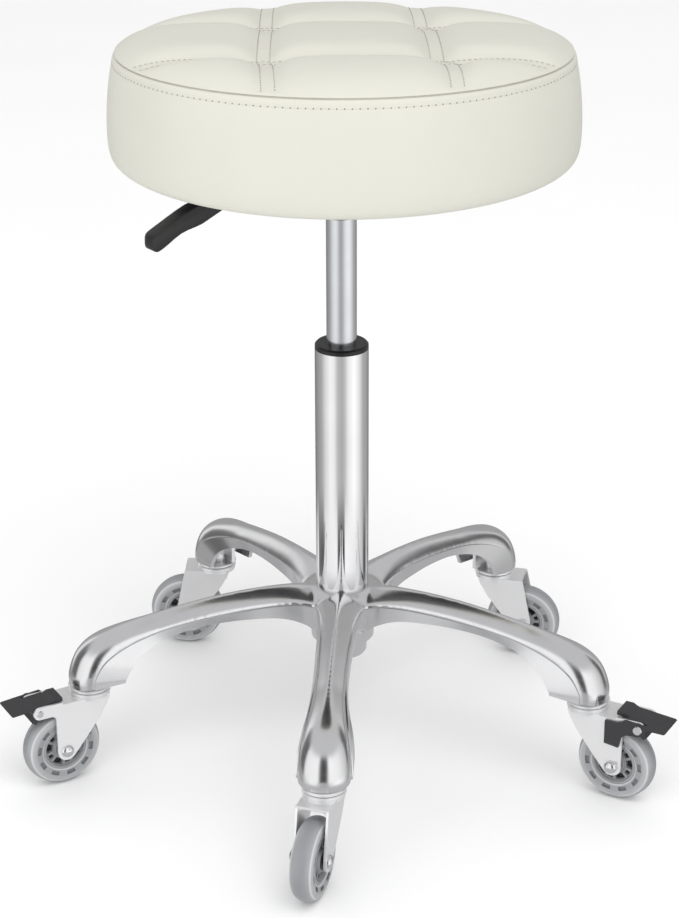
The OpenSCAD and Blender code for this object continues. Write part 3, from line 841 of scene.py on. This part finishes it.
def arm_sections(part, count=64, dome_n=28):
    out = []
    for q in range(count + 1):
        t = q / count * (len(STATIONS) - 1)
        s = spline(STATIONS, t)
        c, k, e, w = (s[0], s[1]), (s[2], s[3]), (s[4], s[5]), s[6]
        length = math.hypot(e[0] - c[0], e[1] - c[1])
        mix = lambda a, b, f: (a[0] + (b[0] - a[0]) * f, a[1] + (b[1] - a[1]) * f)
        soft = min(1.0, max(0.0, (s[0] - 188) / 46))      # ridge along the arm, full dome over the caster
        n = 1.3 + 0.7 * soft
        ring = []
        if part == "dome":
            wd = w - 1.3
            low = mix(k, e, 9.0 / length)
            ring += [(low[0], -wd + 0.6, low[1]), (low[0], wd - 0.6, low[1])][::-1]
            for j in range(dome_n + 1):
                a = math.pi * j / dome_n
                cx = math.copysign(abs(math.cos(a)) ** (2 / n), math.cos(a))
                sy = math.sin(a) ** (2 / n)
                p = mix(k, c, sy)
                ring.append((p[0], -wd * cx, p[1]))
        elif part == "wall":
            k2 = mix(k, e, 0.7 / length)
            k3 = mix(k, e, 1.3 / length)
            ring = [(e[0], -w + 0.5, e[1]), (mix(e, k, 0.5 / length)[0], -w, mix(e, k, 0.5 / length)[1]), (k3[0], -w, k3[1]), (k2[0], -w + 0.55, k2[1]),
                    (k2[0], w - 0.55, k2[1]), (k3[0], w, k3[1]), (mix(e, k, 0.5 / length)[0], w, mix(e, k, 0.5 / length)[1]), (e[0], w - 0.5, e[1])]
        else:
            inset = 4.2
            ci, ei = mix(c, e, inset / length), mix(e, c, -14 / length)
            ki = mix(k, e, inset * 0.2 / length)
            wi = w - inset
            ring = [(ei[0], wi, ei[1]), (ei[0], -wi, ei[1])]
            for j in range(dome_n + 1):
                a = math.pi * j / dome_n
                p = mix(ki, ci, math.sin(a) ** (2 / n))
                ring.append((p[0], -wi * math.copysign(abs(math.cos(a)) ** (2 / n), math.cos(a)), p[1]))
        out.append(ring)
    if part == "cut":
        # opened at the outer end, below the caster
        out.append([(a[0], a[1], a[2] - 12) for a in out[-1]])
        out = [r for r in out if r[2][0] > 46]
    if part == "dome":
        out.append([(a[0], a[1], a[2] - 9) for a in out[-1]])
    return out


def build_base():
    domes = []
    for i in range(5):
        ob = loft("dome%d" % i, arm_sections("dome"))
        transform(ob, Matrix.Rotation(math.radians(72 * i - 90), 4, "Z"))
        domes.append(ob)
    top = lathe("hub_top", [(0, 140)] + [(36, 140), (40, 144), (42, 150), (41.8, 156), (40, 162), (36.4, 167.4), (31.5, 171), (27, 172.2), (0, 172.4)], 120, closed=False)
    boolean(top, domes, "UNION")
    size = 0.0013
    remesh(top, size, smooth=30, factor=0.6)
    walls = []
    for i in range(5):
        ob = loft("wall%d" % i, arm_sections("wall"))
        transform(ob, Matrix.Rotation(math.radians(72 * i - 90), 4, "Z"))
        walls.append(ob)
    hub = lathe("hub", [(0, 116.5), (28.5, 116.5)] + arc(28.4, 118.0, 1.6, -70, 0, 4) + [(30.4, 126.6)] + [(30.9, 129), (32.4, 132), (35.2, 135.8), (38.6, 140), (41.2, 144.4), (42.5, 149), (42.2, 153), (40, 156), (0, 156)], 120, closed=False)
    boolean(hub, walls, "UNION")
    boolean(hub, [top], "UNION")
    cuts = []
    for i in range(5):
        ob = loft("cut%d" % i, arm_sections("cut"))
        transform(ob, Matrix.Rotation(math.radians(72 * i - 90), 4, "Z"))
        cuts.append(ob)
    for i in range(5):
        dx, dz = 266.8 - 216.8, 97.0 - 104.0
        n_ = math.hypot(dx, dz)
        ux, uz = dx / n_, dz / n_
        px, pz = -uz, ux
        corners = [(216.8 + ux * t - px * d, 104.0 + uz * t - pz * d) for t, d in ((-26, 0), (72, 0), (72, 30), (-26, 30))]
        k = len(corners)
        ob = make("trim%d" % i, [(x, y, z) for y in (-34, 34) for x, z in corners], [[3, 2, 1, 0], [4, 5, 6, 7]] + [[a, (a + 1) % 4, 4 + (a + 1) % 4, 4 + a] for a in range(4)])
        transform(ob, Matrix.Rotation(math.radians(72 * i - 90), 4, "Z"))
        cuts.append(ob)
    boolean(hub, cuts, "DIFFERENCE")
    adds = []
    for i in range(5):
        turn = Matrix.Rotation(math.radians(72 * i - 90), 4, "Z")
        boss = lathe("boss%d" % i, [(0, 96.5), (10.6, 96.5), (11, 97), (11, 126.5), (0, 126.5)], 48, closed=False)
        transform(boss, Matrix.Translation((0.248, 0, 0)))
        web = make("web%d" % i, [(x, y, z) for x in (212, 242) for y in (-1.8, 1.8) for z in (106, 126)], [(0, 1, 3, 2), (4, 6, 7, 5), (0, 4, 5, 1), (2, 3, 7, 6), (0, 2, 6, 4), (1, 5, 7, 3)])
        web2 = make("web_b%d" % i, [(x, y, z) for x in (246, 250) for y in (-21.5, 21.5) for z in (101, 113)], [(0, 1, 3, 2), (4, 6, 7, 5), (0, 4, 5, 1), (2, 3, 7, 6), (0, 2, 6, 4), (1, 5, 7, 3)])
        for o in (boss, web, web2):
            transform(o, turn)
            adds.append(o)
    boolean(hub, adds, "UNION")
    bores = [lathe("bore", [(0, 100), (23.5, 100), (25.05, 172), (25.85, 172), (25.85, 200), (0, 200)], 120, closed=False)]
    for i in range(5):
        b = lathe("sb%d" % i, [(0, 90), (6.2, 90), (6.2, 122.6), (0, 122.6)], 32, closed=False)
        transform(b, Matrix.Translation((0.248 * math.sin(math.radians(72 * i)), -0.248 * math.cos(math.radians(72 * i)), 0)))
        bores.append(b)
    boolean(hub, bores, "DIFFERENCE")
    clean(hub)
    hub.name = "cast_base"
    transform(hub, PLACE)
    finish_mesh(hub, POLISHED, "base", 38)
    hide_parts("base_star")
    return hub


base = build_base()


# ---------------------------------------------------------------- wheels
def wheel_frame(c):
    j = JOINTS["caster_%s_roll" % c]
    pos, ax = Vector(j["pos_m"]), Vector(j["axis"]).normalized()
    z = ax
    x = Vector((0, 0, 1)).cross(z).normalized()
    y = z.cross(x)
    m = Matrix((x, y, z)).transposed().to_4x4()
    return Matrix.Translation(pos) @ m


def build_tyre():
    R, W = 38.1, 11.0
    prof = [(21.85, 9.3), (22.4, 9.75), (23.4, 9.9), (24.6, 10.0)]
    prof += [(R - 8.6 + 8.6 * math.cos(math.radians(a)), W * math.sin(math.radians(a))) for a in [90 - 6 * i for i in range(31)]]
    prof += [(24.6, -10.0), (23.4, -9.9), (22.4, -9.75), (21.85, -9.3)]
    prof += [(21.85, -3.6), (28.4, -3.6), (28.4, 3.6), (21.85, 3.6)]
    ob = lathe("tyre", prof, 128)
    cuts = [sector("p%d%d" % (k, s > 0), 24.4, 28.2, 36 * k - 9, 36 * k + 9, 8.9 * s if s > 0 else -13, 13 if s > 0 else -8.9, 0.6, 6) for k in range(10) for s in (-1, 1)]
    boolean(ob, cuts, "DIFFERENCE")
    clean(ob)
    # marks the floors of the side recesses for the painted shade in the tyre material
    at = ob.data.attributes.new("pocket_shade", "FLOAT", "POINT")
    at.data.foreach_set("value", [1.0 if 24.0 < math.hypot(v.co.x, v.co.y) * 1000 < 28.6 and 8.7 < abs(v.co.z) * 1000 < 9.1 else 0.0 for v in ob.data.vertices])
    at = ob.data.attributes.new("ring", "FLOAT", "POINT")
    vals = []
    for v in ob.data.vertices:
        r = math.hypot(v.co.x, v.co.y) * 1000
        vals.append(min(1.0, max(0.0, (r - 21.8) / (R - 21.8))))
    at.data.foreach_set("value", vals)
    return ob


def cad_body(node):
    for b in frame["bodies"] if isinstance(frame["bodies"], list) else frame["bodies"].values():
        if isinstance(b, dict) and node in b.get("nodes", []):
            return b["name"]
    return "fork_" + node.split("_", 1)[1]


def disc(name, r0, r1, z0, z1):
    return lathe(name, [(r0, z0), (r1, z0), (r1, z1), (r0, z1)], 96)


def sector(name, r0, r1, a0, a1, z0, z1, round_=0.9, n=10):
    """A window: an annular sector with rounded corners."""
    pts = []
    da0, da1 = math.degrees(round_ / r0), math.degrees(round_ / r1)
    for i in range(n + 1):
        a = a0 + da1 + (a1 - a0 - 2 * da1) * i / n
        pts.append((r1, a))
    pts.append((r1 - round_ * 0.35, a1 - da1 * 0.3))
    pts.append((r1 - round_, a1))
    pts.append((r0 + round_, a1))
    pts.append((r0 + round_ * 0.35, a1 - da0 * 0.3))
    for i in range(n + 1):
        a = a1 - da0 - (a1 - a0 - 2 * da0) * i / n
        pts.append((r0, a))
    pts.append((r0 + round_ * 0.35, a0 + da0 * 0.3))
    pts.append((r0 + round_, a0))
    pts.append((r1 - round_, a0))
    pts.append((r1 - round_ * 0.35, a0 + da1 * 0.3))
    xy = [(r * math.cos(math.radians(a)), r * math.sin(math.radians(a))) for r, a in pts]
    k = len(xy)
    verts = [(x, y, z0) for x, y in xy] + [(x, y, z1) for x, y in xy]
    faces = [list(range(k))[::-1], list(range(k, 2 * k))] + [[i, (i + 1) % k, k + (i + 1) % k, k + i] for i in range(k)]
    return make(name, verts, faces)


def build_core():
    prof = [(7.05, 9.6), (7.5, 10.0), (10.2, 10.0), (10.7, 9.5), (10.9, 7.4), (11.6, 6.6), (17.8, 6.6), (18.7, 7.4), (19.0, 9.1), (19.5, 9.6), (21.2, 9.6), (21.75, 9.1),
            (21.75, 3.5), (28.3, 3.5)]
    prof += [(r, -z) for r, z in prof[::-1]]
    ob = lathe("core", prof, 128)
    cuts = []
    for k in range(5):
        cuts.append(sector("w%d" % k, 11.8, 17.9, 72 * k - 17, 72 * k + 17, -8, 8))
        cuts.append(sector("v%d" % k, 12.8, 17.2, 72 * k + 36 - 9, 72 * k + 36 + 9, -8, 8, 0.7, 6))
    boolean(ob, cuts, "DIFFERENCE")
    clean(ob)
    return ob


tyre0, core0 = build_tyre(), build_core()
for i, c in enumerate(CASTERS):
    m = wheel_frame(c) @ Matrix.Rotation(math.radians(23 * i + 8), 4, "Z")
    for src, name, mat, slot_name in ((tyre0, "tyre_", TYRE, "grey_tyre"), (core0, "core_", CORE, "wheel_plastic")):
        ob = bpy.data.objects.new("wheel_" + name + c, src.data.copy())
        scene.collection.objects.link(ob)
        transform(ob, m)
        finish_mesh(ob, mat, "wheel_" + c, 40)
        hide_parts(name + c)
    # a black disc across the middle of the core windows: painted shade standing for the shaded inside of the wheel
    web = disc("window_shade_disc_" + c, 11.2, 18.4, -2.4, 2.4)
    transform(web, m)
    finish_mesh(web, NYLON, "wheel_" + c, 40)
    # the bolt through the wheel, with a domed head and a domed nut
    j = JOINTS["caster_%s_roll" % c]
    pos, ax = Vector(j["pos_m"]), Vector(j["axis"]).normalized()
    along = [(v.co - pos).dot(ax) * 1000 for v in NODES["axle_" + c].data.vertices]
    a0, a1 = min(along), max(along)
    prof = [(0, a0), (2.2, a0 + 0.15), (4.2, a0 + 0.75), (5.6, a0 + 1.8), (6.2, a0 + 3.0), (6.3, -15.6), (3.0, -15.6), (3.0, 15.6), (6.3, 15.6), (6.2, a1 - 3.0), (5.6, a1 - 1.8), (4.2, a1 - 0.75), (2.2, a1 - 0.15), (0, a1)]
    bolt = lathe("wheel_bolt_" + c, prof, 48, closed=False)
    transform(bolt, wheel_frame(c))
    finish_mesh(bolt, STEEL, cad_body("axle_" + c), 40)
    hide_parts("axle_" + c)
for o in (tyre0, core0):
    bpy.data.objects.remove(o)


# ---------------------------------------------------------------- lever paddle
def build_paddle():
    top = [(112, 590.2), (122, 589.2), (134, 587.4), (146, 585.0), (156, 582.6), (166, 579.9), (175, 576.6), (184, 572.8), (192, 569.2), (199, 566.2), (204.5, 563.6)]
    tip = [(206.6, 562.0), (207.6, 559.2), (207.8, 553.2), (207.2, 550.2), (205.4, 548.4), (202.8, 548.2)]
    low = [(198.5, 549.6), (192.5, 552.6), (186, 556.2), (179, 559.4), (172, 561.2), (164, 562.4), (157, 563.8), (149, 566.8), (139, 570.6), (128, 574.8), (119, 578.2), (112, 580.6)]
    ob = plate("lever_blade", top + tip + low, -7.4, 7.4, 1.5)
    m = Matrix.Translation((AX, AY, 0)) @ Matrix.Rotation(math.radians(221.9), 4, "Z")
    transform(ob, m)
    finish_mesh(ob, LEVER, "lever", 32)
    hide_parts("lever_paddle")


build_paddle()


# ---------------------------------------------------------------- light, floor, camera
def world():
    w = bpy.data.worlds.new("studio")
    scene.world = w
    w.use_nodes = True
    t = w.node_tree
    t.nodes.clear()
    out = t.nodes.new("ShaderNodeOutputWorld")
    bg = t.nodes.new("ShaderNodeBackground")
    tc = t.nodes.new("ShaderNodeTexCoord")
    sep = t.nodes.new("ShaderNodeSeparateXYZ")
    t.links.new(tc.outputs["Generated"], sep.inputs[0])

    def math_node(op, a=None, b=None, va=None, vb=None):
        n = t.nodes.new("ShaderNodeMath")
        n.operation = op
        if a is not None:
            t.links.new(a, n.inputs[0])
        if va is not None:
            n.inputs[0].default_value = va
        if b is not None:
            t.links.new(b, n.inputs[1])
        if vb is not None:
            n.inputs[1].default_value = vb
        return n.outputs[0]
    neg_y = math_node("MULTIPLY", sep.outputs[1], vb=-1.0)
    az = math_node("ARCTAN2", sep.outputs[0], neg_y)
    fac = math_node("ADD", math_node("DIVIDE", az, vb=2 * math.pi), vb=0.5)
    ramp = t.nodes.new("ShaderNodeValToRGB")
    t.links.new(fac, ramp.inputs[0])
    stops = [(-180, .40), (-141, .40), (-134, .95), (-125, 1.0), (-118, .2), (-86, .10), (-78, 1.0), (-20, 1.15), (-13, .07), (12, .05), (17, 1.2), (60, 1.05), (104, .62),
             (112, .10), (127, .14), (133, .9), (141, .44), (180, .40)]
    e = ramp.color_ramp.elements
    while len(e) > 1:
        e.remove(e[-1])
    e[0].position, e[0].color = 0.0, rgba(stops[0][1])
    for a, v in stops[1:]:
        x = e.new(a / 360 + 0.5)
        x.color = rgba(v)
    ramp2 = t.nodes.new("ShaderNodeValToRGB")
    t.links.new(fac, ramp2.inputs[0])
    stops2 = [(-180, .18), (-150, .24), (-118, .38), (-92, .50), (-72, .84), (-46, 1.15), (-30, 1.05), (-14, .62), (4, .52), (16, .64), (32, 1.05), (58, 1.3), (84, .95), (106, .5), (132, .42), (154, .28), (180, .18)]
    e = ramp2.color_ramp.elements
    while len(e) > 1:
        e.remove(e[-1])
    e[0].position, e[0].color = 0.0, rgba(stops2[0][1])
    for a, v in stops2[1:]:
        x = e.new(a / 360 + 0.5)
        x.color = rgba(v)

    def step(lo, hi):
        n = t.nodes.new("ShaderNodeMapRange")
        n.interpolation_type = "SMOOTHSTEP"
        n.inputs["From Min"].default_value = lo
        n.inputs["From Max"].default_value = hi
        t.links.new(sep.outputs[2], n.inputs["Value"])
        return n.outputs[0]
    band = math_node("MULTIPLY", step(-0.434, -0.404), step(-0.20, -0.26))
    m0 = t.nodes.new("ShaderNodeMix")
    m0.data_type = "RGBA"
    t.links.new(band, m0.inputs[0])
    t.links.new(ramp.outputs[0], m0.inputs[6])
    t.links.new(ramp2.outputs[0], m0.inputs[7])
    up = t.nodes.new("ShaderNodeMapRange")
    up.interpolation_type = "SMOOTHSTEP"
    up.inputs["From Min"].default_value = 0.42
    up.inputs["From Max"].default_value = 0.72
    t.links.new(sep.outputs[2], up.inputs["Value"])
    m1 = t.nodes.new("ShaderNodeMix")
    m1.data_type = "RGBA"
    t.links.new(up.outputs[0], m1.inputs[0])
    t.links.new(m0.outputs[2], m1.inputs[6])
    m1.inputs[7].default_value = (.62, .62, .63, 1)
    dn = t.nodes.new("ShaderNodeMapRange")
    dn.interpolation_type = "SMOOTHSTEP"
    dn.inputs["From Min"].default_value = -0.438
    dn.inputs["From Max"].default_value = -0.446
    t.links.new(sep.outputs[2], dn.inputs["Value"])
    m2 = t.nodes.new("ShaderNodeMix")
    m2.data_type = "RGBA"
    t.links.new(dn.outputs[0], m2.inputs[0])
    t.links.new(m1.outputs[2], m2.inputs[6])
    m2.inputs[7].default_value = (.55, .55, .56, 1)
    lp = t.nodes.new("ShaderNodeLightPath")
    soft = t.nodes.new("ShaderNodeMapRange")
    soft.inputs["From Min"].default_value = -1.0
    soft.inputs["From Max"].default_value = 1.0
    soft.inputs["To Min"].default_value = 0.9
    soft.inputs["To Max"].default_value = 0.93
    t.links.new(sep.outputs[2], soft.inputs["Value"])
    md = t.nodes.new("ShaderNodeMix")
    md.data_type = "RGBA"
    t.links.new(lp.outputs["Is Diffuse Ray"], md.inputs[0])
    t.links.new(m2.outputs[2], md.inputs[6])
    t.links.new(soft.outputs[0], md.inputs[7])
    m3 = t.nodes.new("ShaderNodeMix")
    m3.data_type = "RGBA"
    t.links.new(lp.outputs["Is Camera Ray"], m3.inputs[0])
    t.links.new(md.outputs[2], m3.inputs[6])
    m3.inputs[7].default_value = (1, 1, 1, 1)
    t.links.new(m3.outputs[2], bg.inputs[0])
    bg.inputs[1].default_value = 1.0
    t.links.new(bg.outputs[0], out.inputs[0])


world()


def area(name, pos, size, power, target=(0, 0, 0.35), glossy=False):
    light = bpy.data.lights.new(name, "AREA")
    light.shape = "SQUARE"
    light.size = size
    light.energy = power
    ob = bpy.data.objects.new(name, light)
    scene.collection.objects.link(ob)
    ob.location = pos
    ob.rotation_euler = (Vector(target) - Vector(pos)).to_track_quat("-Z", "Y").to_euler()
    ob.visible_glossy = glossy
    return ob


area("key", (1.2, -2.6, 5.2), 4.0, 100)
area("fill", (-1.8, -3.6, 1.5), 2.4, 32)

me = bpy.data.meshes.new("floor")
n = 24
S = 9.0
me.from_pydata([(-S + 2 * S * i / n, -S + 2 * S * j / n, 0) for j in range(n + 1) for i in range(n + 1)], [],
               [(j * (n + 1) + i, j * (n + 1) + i + 1, (j + 1) * (n + 1) + i + 1, (j + 1) * (n + 1) + i) for j in range(n) for i in range(n)])
floor = bpy.data.objects.new("floor", me)
scene.collection.objects.link(floor)
fm = Mat("pale_floor")
fc = fm.ramp(fm.noise(3, 2), "Fac", [(0.3, 0.935), (0.7, 0.945)])
fm.l(fc, 0, fm.b, "Base Color")
fm.set(Roughness=0.6, Specular_IOR_Level=0.1)
me.materials.append(fm.m)
floor.visible_glossy = False

cam = bpy.data.cameras.new("camera")
cam.sensor_fit = "AUTO"
cam.sensor_width = 36
cam.lens = 2444.3 / 918 * 36
cam.clip_end = 50
camera = bpy.data.objects.new("camera", cam)
scene.collection.objects.link(camera)
rot = Matrix.Rotation(TURN, 3, "Z")
theta, roll = 0.4078, -0.0034
fwd = rot @ Vector((0, math.cos(theta), -math.sin(theta)))
right = rot @ Vector((1, 0, 0))
upv = right.cross(fwd)
right, upv = right * math.cos(roll) + upv * math.sin(roll), upv * math.cos(roll) - right * math.sin(roll)
R3 = Matrix((right, upv, -fwd)).transposed()
pos = rot @ Vector((-0.00238, -2.1071, 1.2102)) + Vector((AX, AY, 0))
camera.matrix_world = Matrix.Translation(pos) @ R3.to_4x4()
scene.camera = camera
scene.view_settings.view_transform = "Standard"
scene.view_settings.look = "None"
scene.cycles.max_bounces = 10
